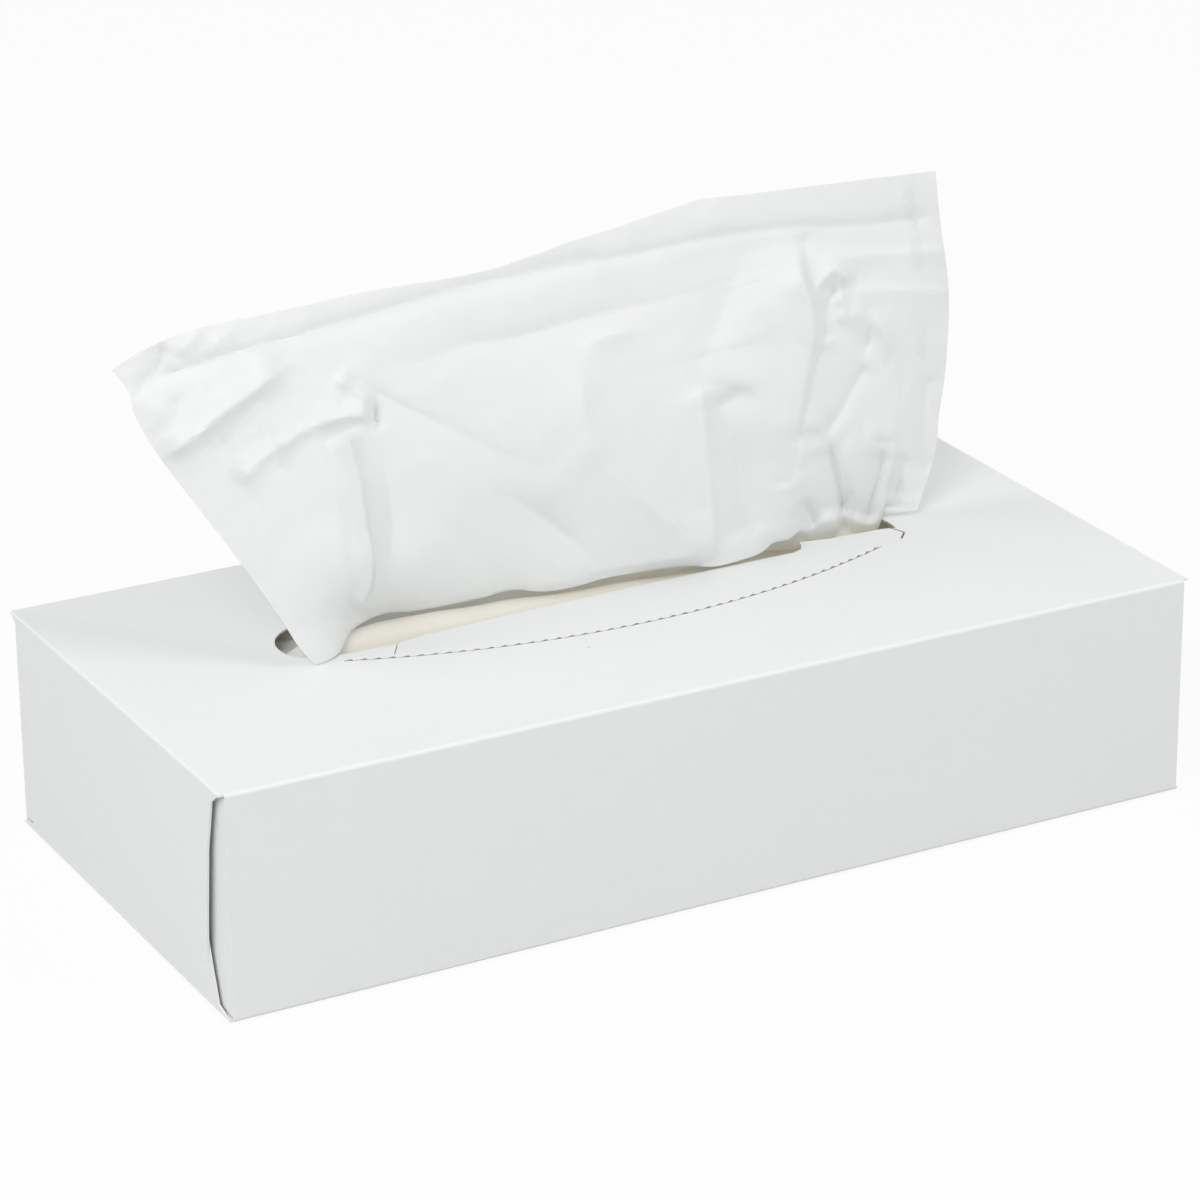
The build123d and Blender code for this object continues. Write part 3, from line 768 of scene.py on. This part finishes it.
def crumple_height(spots, size, seed, share):
    """Soft unevenness with faint creases, about from -1 to 1, times a share."""
    values = np.empty(len(spots))
    for index, (across, up) in enumerate(spots):
        spot = Vector((across / size, up / size, seed))
        values[index] = 1 - 2.4 * abs(noise.noise(spot)) + 0.35 * noise.noise(spot * 2.7)
    return values * share


def in_sight(spots, depth):
    """Slides spots of the drawing plane along their lines of sight to a depth along Y."""
    eye = np.array(EYE) / MM
    flat = np.column_stack([spots[:, 0], np.full(len(spots), DRAWING_PLANE), spots[:, 1]])
    share = (depth - eye[1]) / (DRAWING_PLANE - eye[1])
    return eye + (flat - eye) * share[:, None]


PULLED_COLUMNS = 300
PULLED_ROWS = 120
# Where the columns crowd: middle and width as shares of the sheet's, and how much more of them
CREASED_PLACES = [(0.2, 0.09, 0.8), (0.87, 0.09, 1.0)]
# Shares of the sheet's rise over which, down to the slot, its depth goes over to that of the
# traced lower edge, and its folds fade out
LOWER_BAND = 0.12
FOLDLESS_BAND = 0.03
# Crumples over the whole sheet, and in its left corner only: size, seed and share
CRUMPLES = [(19.0, 3.7, 0.6), (8.0, 9.1, 0.25)]
CORNER_CRUMPLE = (4.6, 2.3, 0.5)
CORNER_ACROSS = (52, 74)
CORNER_UP = (84, 96)


def pulled_columns():
    """The columns' places as shares of the sheet's width."""
    even = np.linspace(0, 1, 2001)
    weight = 1 + sum(
        more * np.exp(-(((even - middle) / width) ** 2)) for middle, width, more in CREASED_PLACES
    )
    run = np.concatenate([[0], np.cumsum((weight[1:] + weight[:-1]) / 2)])
    return np.interp(np.linspace(0, run[-1], PULLED_COLUMNS), run, even)


def drawn_sheet(across, rise, low):
    """Spots on the drawing plane that fill the four traced edges."""
    low = low[None, :, :2]
    top = smooth_line(TOP_EDGE, across)[None]
    left = smooth_line(LEFT_EDGE, rise)[:, None]
    right = smooth_line(RIGHT_EDGE, rise)[:, None]
    u, v = (share[..., None] for share in np.meshgrid(across, rise))
    return (
        (1 - v) * low + v * top + (1 - u) * left + u * right
        - (1 - u) * (1 - v) * low[:, 0] - u * (1 - v) * low[:, -1]
        - (1 - u) * v * top[:, 0] - u * v * top[:, -1]
    )


def pulled_front(across, settings):
    """Places of the pulled tissue that show, from its top edge down to the slot."""
    rise = np.linspace(1, 0, PULLED_ROWS)
    low = smooth_line(LOWER_EDGE, across)
    spots = drawn_sheet(across, rise, low).reshape(-1, 2)
    u, v = (share.reshape(-1) for share in np.meshgrid(across, rise))
    net = [np.interp(BELLY_ACROSS, across, low[:, 2]), *BELLY_DEPTH]
    depth = belly_depth(u, v, net)
    off_edge = np.tile(low[:, 2], PULLED_ROWS) - belly_depth(u, np.zeros(u.size), net)
    depth += off_edge * eased(LOWER_BAND - v, 0, LOWER_BAND)
    height = fold_height(spots) * settings.fold_depth
    soft = sum(crumple_height(spots, *crumple) for crumple in CRUMPLES)
    corner = eased(-spots[:, 0], *CORNER_ACROSS) * eased(spots[:, 1], *CORNER_UP)
    soft += corner * crumple_height(spots, *CORNER_CRUMPLE)
    height += soft * settings.crumple / MM
    free = eased(v, 0.0, FOLDLESS_BAND)
    return in_sight(spots, depth - height * free).reshape(PULLED_ROWS, PULLED_COLUMNS, 3)


# The pulled tissue below the slot: where its root and its tail start along X, and their widths
ROOT_LEFT, ROOT_WIDTH = -59, 132
TAIL_LEFT, TAIL_WIDTH = -101, 202
# Gathers at the root, and how uneven they are; ripples of the tail, and how high
GATHERS = 9
GATHERS_UNEVEN = (1.3, 11)
RIPPLES = 23
RIPPLE_HEIGHT = 0.35
# Just inside the slot it lies no nearer than this along Y. Where the shown edge is lower than
# LIP_UNDER it only goes on down, and elsewhere it is kept between two heights.
LIP_NEAREST = 11.6
LIP_UNDER = 49.6
LIP_HEIGHTS = (49.3, 51.0)
# Its root in the slot and the turn below: rows, depth along Y with its gather, height with its own
ROOT = (6, 13.4, 0.7, 46.6, 0.0)
TURN = (3, 14.6, 0.8, 44.9, 0.2)
# From there over the pack, back, round and forward: rows, depth along Y, height, ripple's share
TAIL_PATH = [
    (5, 30.0, 44.5, 1.0), (3, 47.6, 44.4, 1.0), (1, 48.8, 43.8, 0.5), (1, 47.6, 43.3, 0.3),
    (4, 13.0, 43.2, 0.3),
]


def pulled_grid(settings):
    """Places of the pulled tissue, from its top edge down into the slot and through its tail."""
    across = pulled_columns()
    shown = pulled_front(across, settings)
    x, y, z = shown[-1].T
    much, often = GATHERS_UNEVEN
    gather = np.sin(across * 2 * math.pi * GATHERS + much * np.sin(across * often))
    ripple = RIPPLE_HEIGHT * np.sin(across * 2 * math.pi * RIPPLES)
    root_x = ROOT_LEFT + ROOT_WIDTH * across
    tail_x = TAIL_LEFT + TAIL_WIDTH * across
    lip_z = np.where(z < LIP_UNDER, z - 0.3, np.clip(z - 0.6, *LIP_HEIGHTS))
    stations = [(4, x * 0.5 + root_x * 0.5, np.maximum(y + 0.8, LIP_NEAREST), lip_z)]
    for turn_x, turn in ((root_x, ROOT), (root_x * 0.75 + tail_x * 0.25, TURN)):
        count, back, back_gather, up, up_gather = turn
        stations.append((count, turn_x, back + back_gather * gather, up + up_gather * gather))
    stations += [(count, tail_x, back, up + ripple * share) for count, back, up, share in TAIL_PATH]
    rows = [shown]
    last = shown[-1]
    for count, *place in stations:
        station = np.column_stack(np.broadcast_arrays(*place))
        for step in range(1, count + 1):
            rows.append((last + (station - last) * (step / count))[None])
        last = station
    return np.concatenate(rows)


NEXT_COLUMNS = 190
NEXT_ROWS = 150
NEXT_HALF = 102.5
# Its way over the pack from back to front, round and up into the slot: along Y and Z
NEXT_PATH = [
    (49.8, 42.75), (20.0, 42.72), (-20.0, 42.72), (-49.6, 42.75), (-50.6, 43.05),
    (-49.8, 43.4), (-30.0, 43.5), (-8.0, 43.8), (-2.0, 44.9), (1.0, 46.2), (2.6, 47.4),
    (3.7, 48.8), (5.2, 50.0), (7.0, 50.6), (8.6, 50.4), (9.8, 49.0), (10.6, 46.4), (11.1, 43.9),
]
# Height of its fold at places along the slot
NEXT_CREST = [
    (-78.0, 44.6), (-72.5, 46.2), (-69.5, 48.6), (-62.0, 49.8), (-50.0, 50.9), (-35.0, 50.6),
    (-20.0, 49.6), (-8.0, 48.8), (5.0, 48.3), (16.0, 48.0), (28.0, 47.4), (40.0, 46.6),
    (60.0, 45.6), (76.0, 44.6),
]
NEXT_LEVEL = 44.2
NEXT_CREST_TOP = 50.6
# Its waves: size across and along, seed, and share; then how they raise it and push it back
NEXT_WAVES = [(24, 14, 5.2, 1.0), (9, 8, 1.4, 0.5)]
NEXT_WAVE_UP = 0.35
NEXT_WAVE_BACK = 0.25
NEXT_SINK = 0.1
# It leaves the pack at this height, and is free to wave after this rise
NEXT_FREE = 43.8
NEXT_FREE_RISE = 3.0
# Inside the slot it may rise over the board, and elsewhere it stays under it
SLOT_MIDDLE, SLOT_HALF = -8, 61
SLOT_FRONT = 3.4
ABOVE_BOARD = 51.2
UNDER_BOARD = 47.6


def next_grid():
    """Places of the next tissue, over the pack, round and up to its fold behind the strip."""
    x = -NEXT_HALF + 2 * NEXT_HALF * np.linspace(0, 1, NEXT_COLUMNS)
    lift = (np.interp(x, *zip(*NEXT_CREST)) - NEXT_LEVEL) / (NEXT_CREST_TOP - NEXT_LEVEL)
    in_slot = np.abs(x - SLOT_MIDDLE) < SLOT_HALF
    rows = []
    for y, z in smooth_line(NEXT_PATH, np.linspace(0, 1, NEXT_ROWS)):
        raised = max(0.0, min(1.0, (z - NEXT_FREE) / NEXT_FREE_RISE))
        wave = np.array([
            sum(
                share * noise.noise(Vector((place / wide, y / long, seed)))
                for wide, long, seed, share in NEXT_WAVES
            )
            for place in x
        ])
        up = z - raised * (1 - lift) * (z - NEXT_LEVEL)
        up = up + raised * (wave * NEXT_WAVE_UP - NEXT_SINK)
        back = y + raised * wave * NEXT_WAVE_BACK
        ceiling = np.where((y > SLOT_FRONT) & in_slot, ABOVE_BOARD, UNDER_BOARD)
        rows.append(np.column_stack([x, back, np.minimum(up, ceiling)]))
    return np.array(rows)


def flat_places(grid, settings):
    """Where each place of a grid lies on the flat sheet, in metres."""
    steps = np.linalg.norm(np.diff(grid, axis=0), axis=2).mean(axis=1)
    along = np.concatenate([[0], np.cumsum(steps)])
    along = along / along[-1] * settings.length
    across = np.linspace(0, settings.width, grid.shape[1])
    return np.stack(np.meshgrid(across, along), axis=-1)


SMOOTH_ANGLE = math.radians(60)


def sheet_object(name, grid, settings):
    """A closed thin sheet on a grid of places, in millimetres, with its flat coordinates as UVs."""
    rows, columns, _ = grid.shape
    mesh = bpy.data.meshes.new(name)
    corner = np.arange(rows * columns).reshape(rows, columns)
    faces = np.stack(
        [corner[:-1, :-1], corner[:-1, 1:], corner[1:, 1:], corner[1:, :-1]], axis=-1
    ).reshape(-1, 4)
    mesh.from_pydata((grid.reshape(-1, 3) * MM).tolist(), [], faces.tolist())
    flat = mesh.uv_layers.new(name="flat sheet")
    loops = np.empty(len(mesh.loops), int)
    mesh.loops.foreach_get("vertex_index", loops)
    flat.data.foreach_set("uv", flat_places(grid, settings).reshape(-1, 2)[loops].reshape(-1))
    piece = bpy.data.objects.new(name, mesh)
    bpy.context.collection.objects.link(piece)
    choose(piece)
    body = piece.modifiers.new("two plies", "SOLIDIFY")
    body.thickness = settings.thickness
    body.offset = 0.0
    bpy.ops.object.modifier_apply(modifier=body.name)
    bpy.ops.object.shade_smooth_by_angle(angle=SMOOTH_ANGLE)
    return piece


def choose(piece):
    """Makes this object the only selected one, and active."""
    bpy.ops.object.select_all(action="DESELECT")
    piece.select_set(True)
    bpy.context.view_layer.objects.active = piece


def finished(piece, material):
    """Gives a piece its material."""
    piece.data.materials.clear()
    piece.data.materials.append(material)


def stand_in(piece, node):
    """Puts a piece of tissue in the place of its solid."""
    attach(piece, "root")
    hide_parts(node)


# Steps of the work


class TISSUEBOX_OT_carton(bpy.types.Operator):
    """Gives the folded carton its coated board"""

    bl_idname = "tissuebox.carton"
    bl_label = "Finish the carton"

    def execute(self, context):
        finished(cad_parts["carton"], board_finish(context.scene.tissuebox_board))
        return {"FINISHED"}


class TISSUEBOX_OT_pulled_tissue(bpy.types.Operator):
    """Folds and hangs the tissue that stands in the slot"""

    bl_idname = "tissuebox.pulled_tissue"
    bl_label = "Make the pulled tissue"

    def execute(self, context):
        settings = context.scene.tissuebox_tissue
        piece = sheet_object("pulled_tissue_sheet", pulled_grid(settings), settings)
        finished(piece, tissue_finish("pulled tissue", settings, PULLED_SLOT_LIGHT))
        stand_in(piece, "pulled_tissue")
        return {"FINISHED"}


class TISSUEBOX_OT_next_tissue(bpy.types.Operator):
    """Lays the next tissue over the pack, with its fold up behind the torn strip"""

    bl_idname = "tissuebox.next_tissue"
    bl_label = "Make the next tissue"

    def execute(self, context):
        settings = context.scene.tissuebox_tissue
        piece = sheet_object("next_tissue_sheet", next_grid(), settings)
        finished(piece, tissue_finish("next tissue", settings, NEXT_SLOT_LIGHT))
        stand_in(piece, "next_tissue")
        return {"FINISHED"}


# How far a layer may lie askew, and the share of its height that rounds its long edges
LAYER_SHIFT = 0.0004
LAYER_ROUND = 0.42
PACK_SEED = 7


class TISSUEBOX_OT_pack(bpy.types.Operator):
    """Piles up the folded tissues left in the carton"""

    bl_idname = "tissuebox.pack"
    bl_label = "Make the pack"

    def execute(self, context):
        settings = context.scene.tissuebox_tissue
        low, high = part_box("tissue_stack")
        size = high - low
        layer = size.z / settings.layers
        bpy.ops.object.select_all(action="DESELECT")
        bpy.ops.mesh.primitive_cube_add(size=1.0)
        piece = context.object
        piece.name = piece.data.name = "folded_pack"
        inner = (size.x - 2 * LAYER_SHIFT, size.y - 2 * LAYER_SHIFT, layer)
        bpy.ops.object.mode_set(mode="EDIT")
        bpy.ops.transform.resize(value=inner)
        bpy.ops.transform.translate(
            value=((low.x + high.x) / 2, (low.y + high.y) / 2, low.z + layer / 2)
        )
        mesh = bmesh.from_edit_mesh(piece.data)
        for edge in mesh.edges:
            first, second = (corner.co for corner in edge.verts)
            edge.select_set(abs(first.x - second.x) > size.x / 2)
        bmesh.update_edit_mesh(piece.data)
        bpy.ops.mesh.bevel(offset=layer * LAYER_ROUND, segments=2)
        bpy.ops.object.mode_set(mode="OBJECT")
        pile = piece.modifiers.new("layers", "ARRAY")
        pile.count = settings.layers
        pile.use_relative_offset = False
        pile.use_constant_offset = True
        pile.constant_offset_displace = (0, 0, layer)
        bpy.ops.object.modifier_apply(modifier=pile.name)
        # No two layers lie quite alike
        chance = random.Random(PACK_SEED)
        shifts = [
            (chance.uniform(-1, 1) * LAYER_SHIFT, chance.uniform(-1, 1) * LAYER_SHIFT)
            for _ in range(settings.layers)
        ]
        for corner in piece.data.vertices:
            at = min(int((corner.co.z - low.z) / layer), settings.layers - 1)
            corner.co.x += shifts[at][0]
            corner.co.y += shifts[at][1]
        finished(piece, pack_finish(settings))
        stand_in(piece, "tissue_stack")
        return {"FINISHED"}


# The floor lies this far below the carton, and shows whiter than it lights the object
FLOOR_DROP = 0.0004
FLOOR_WHITE = 1.06
FLOOR_WHITE_SHARE = 0.85
WHITE = (1, 1, 1, 1)
# Lamps: name, place and the setting that holds the power
LAMPS = [
    ("key light", (-0.97, -0.86, 1.05), "key_power"),
    ("fill light", (1.05, -1.1, 1.25), "fill_power"),
    ("back light", (-1.2, 0.4, 1.1), "back_power"),
]
LAMP_SIZE = 0.8
LAMPS_AIM = Vector((0, 0, 0.05))


class TISSUEBOX_OT_stage(bpy.types.Operator):
    """Sets the floor, the surroundings, the lamps and the camera"""

    bl_idname = "tissuebox.stage"
    bl_label = "Set the stage"

    def execute(self, context):
        settings = context.scene.tissuebox_stage
        self.floor(context, settings)
        self.surroundings(context, settings)
        for name, place, power in LAMPS:
            self.lamp(context, name, place, getattr(settings, power))
        self.camera(context)
        context.scene.view_settings.view_transform = "Standard"
        return {"FINISHED"}

    def floor(self, context, settings):
        bpy.ops.object.select_all(action="DESELECT")
        bpy.ops.mesh.primitive_plane_add(size=settings.floor_size, location=(0, 0, -FLOOR_DROP))
        floor = context.object
        floor.name = "floor"
        bpy.ops.object.transform_apply(location=True, rotation=False, scale=False)
        finish = Finish(bpy.data.materials.new("pale floor"))
        diffuse = finish.node(
            "ShaderNodeBsdfDiffuse", inputs={"Color": (*settings.floor_colour, 1.0)}
        )
        white = finish.node(
            "ShaderNodeEmission", inputs={"Color": WHITE, "Strength": FLOOR_WHITE}
        )
        both = finish.mixed(seen(finish) * FLOOR_WHITE_SHARE, diffuse, white)
        finished(floor, finish.show(both))

    def surroundings(self, context, settings):
        finish = Finish(bpy.data.worlds.new("plain studio"), "ShaderNodeOutputWorld")
        strength = seen(finish) * (1.0 - settings.surroundings) + settings.surroundings
        light = finish.node(
            "ShaderNodeBackground", inputs={"Color": WHITE, "Strength": strength}
        )
        context.scene.world = finish.show(light)

    def lamp(self, context, name, place, power):
        light = bpy.data.lights.new(name, "AREA")
        light.energy = power
        light.size = LAMP_SIZE
        lamp = bpy.data.objects.new(name, light)
        context.collection.objects.link(lamp)
        lamp.location = place
        aim = LAMPS_AIM - lamp.location
        lamp.rotation_euler = aim.to_track_quat("-Z", "Y").to_euler()

    def camera(self, context):
        camera = bpy.data.objects.new("camera", bpy.data.cameras.new("camera"))
        context.collection.objects.link(camera)
        camera.data.sensor_width = SENSOR
        camera.data.lens = LENS
        camera.data.clip_start = 0.05
        camera.data.clip_end = 50.0
        turn = Matrix((PICTURE_RIGHT, PICTURE_UP, PICTURE_BACK)).transposed()
        camera.matrix_world = Matrix.Translation(EYE) @ turn.to_4x4()
        context.scene.camera = camera


def seen(finish):
    """1 for what the camera sees straight, in a mirror or through glass, and 0 for light."""
    path = finish.node("ShaderNodeLightPath").outputs
    straight, mirrored, passed = (
        Value(finish, path[name])
        for name in ("Is Camera Ray", "Is Glossy Ray", "Is Transmission Ray")
    )
    return straight.most(mirrored).most(passed)


class TISSUEBOX_PT_sidebar(bpy.types.Panel):
    """Lists the settings and the steps"""

    bl_idname = "TISSUEBOX_PT_sidebar"
    bl_label = "Tissue box"
    bl_space_type = "VIEW_3D"
    bl_region_type = "UI"
    bl_category = "Tissue box"

    def draw(self, context):
        for group, operators in PANEL_ROWS:
            settings = getattr(context.scene, group)
            box = self.layout.box()
            for name in settings.__annotations__:
                box.prop(settings, name)
            for operator in operators:
                box.operator(operator.bl_idname)


GROUPS = {
    "tissuebox_board": BoardSettings,
    "tissuebox_tissue": TissueSettings,
    "tissuebox_stage": StageSettings,
}
# In the order in which they run
OPERATORS = [
    TISSUEBOX_OT_stage, TISSUEBOX_OT_carton, TISSUEBOX_OT_pack, TISSUEBOX_OT_next_tissue,
    TISSUEBOX_OT_pulled_tissue,
]
PANEL_ROWS = [
    ("tissuebox_board", [TISSUEBOX_OT_carton]),
    ("tissuebox_tissue", [
        TISSUEBOX_OT_pack, TISSUEBOX_OT_next_tissue, TISSUEBOX_OT_pulled_tissue,
    ]),
    ("tissuebox_stage", [TISSUEBOX_OT_stage]),
]
CLASSES = [*GROUPS.values(), *OPERATORS, TISSUEBOX_PT_sidebar]


def register():
    for made in CLASSES:
        bpy.utils.register_class(made)
    for name, group in GROUPS.items():
        setattr(bpy.types.Scene, name, PointerProperty(type=group))


def unregister():
    for name in GROUPS:
        delattr(bpy.types.Scene, name)
    for made in reversed(CLASSES):
        bpy.utils.unregister_class(made)


def main():
    register()
    for operator in OPERATORS:
        getattr(bpy.ops.tissuebox, operator.bl_idname.split(".")[1])()


if __name__ == "__main__":
    main()
